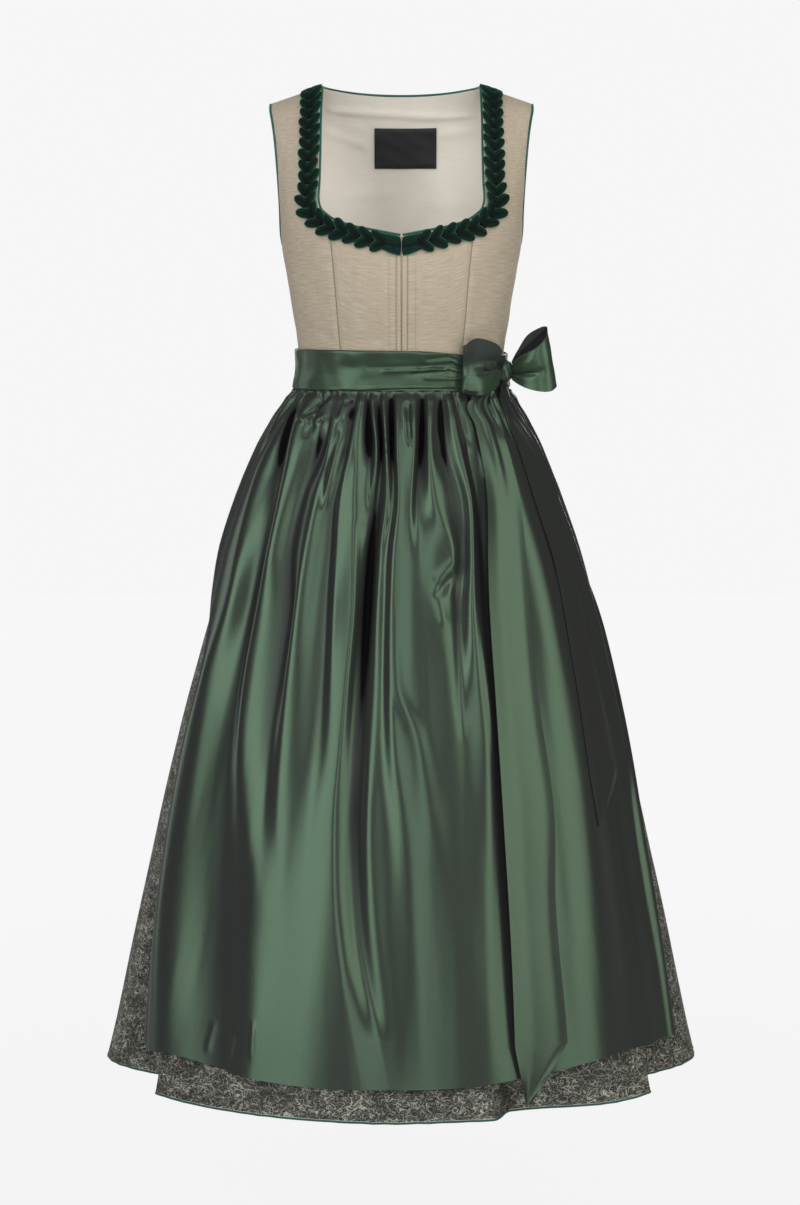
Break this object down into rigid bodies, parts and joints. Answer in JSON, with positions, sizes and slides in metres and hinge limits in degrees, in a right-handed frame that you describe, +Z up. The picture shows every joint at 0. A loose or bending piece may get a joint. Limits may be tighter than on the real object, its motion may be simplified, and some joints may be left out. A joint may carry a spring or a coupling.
{
  "type": "dirndl dress",
  "caption": "Sleeveless dirndl dress in its worn form: fitted linen bodice with leaf trim at a heart-shaped neck, gathered jacquard skirt, satin apron tied in a bow.",
  "frame": {"origin": "middle of the shoulder line, level with the shoulder seams at the neck, on the garment's centre plane; the wearer's shoulders hold the dress there", "axes": "+Z up, +X to the wearer's left, -Y to the wearer's front"},
  "size_m": [0.7304, 0.5359, 1.1849],
  "materials": {
    "linen": "champagne linen-look weave with a faint sheen",
    "lining": "cream lining satin",
    "label": "black woven label, bare",
    "velvet": "bottle-green velvet",
    "piping": "teal corded piping",
    "jacquard": "dark jacquard with a small scrolling champagne pattern",
    "satin": "green shot satin, charcoal at a glance"
  },
  "bodies": {
    "root": {"bodice_centre_front_left": "linen", "bodice_centre_front_right": "linen", "bodice_side_front_left": "linen", "bodice_side_front_right": "linen", "bodice_back": "linen", "back_lining": "lining", "neck_label": "label", "neck_trim_left": "velvet", "neck_trim_right": "velvet", "neck_piping": "piping", "armhole_piping_left": "piping", "armhole_piping_right": "piping", "hem_piping_front": "piping", "hem_piping_back": "piping", "skirt_front": "jacquard", "skirt_back": "jacquard", "apron_panel": "satin", "apron_band": "satin", "waist_tie_back": "satin", "bow_knot": "satin", "bow_loop_inner": "satin", "bow_loop_outer": "satin", "bow_tail_long": "satin", "bow_tail_short": "satin"}
  },
  "joints": []
}
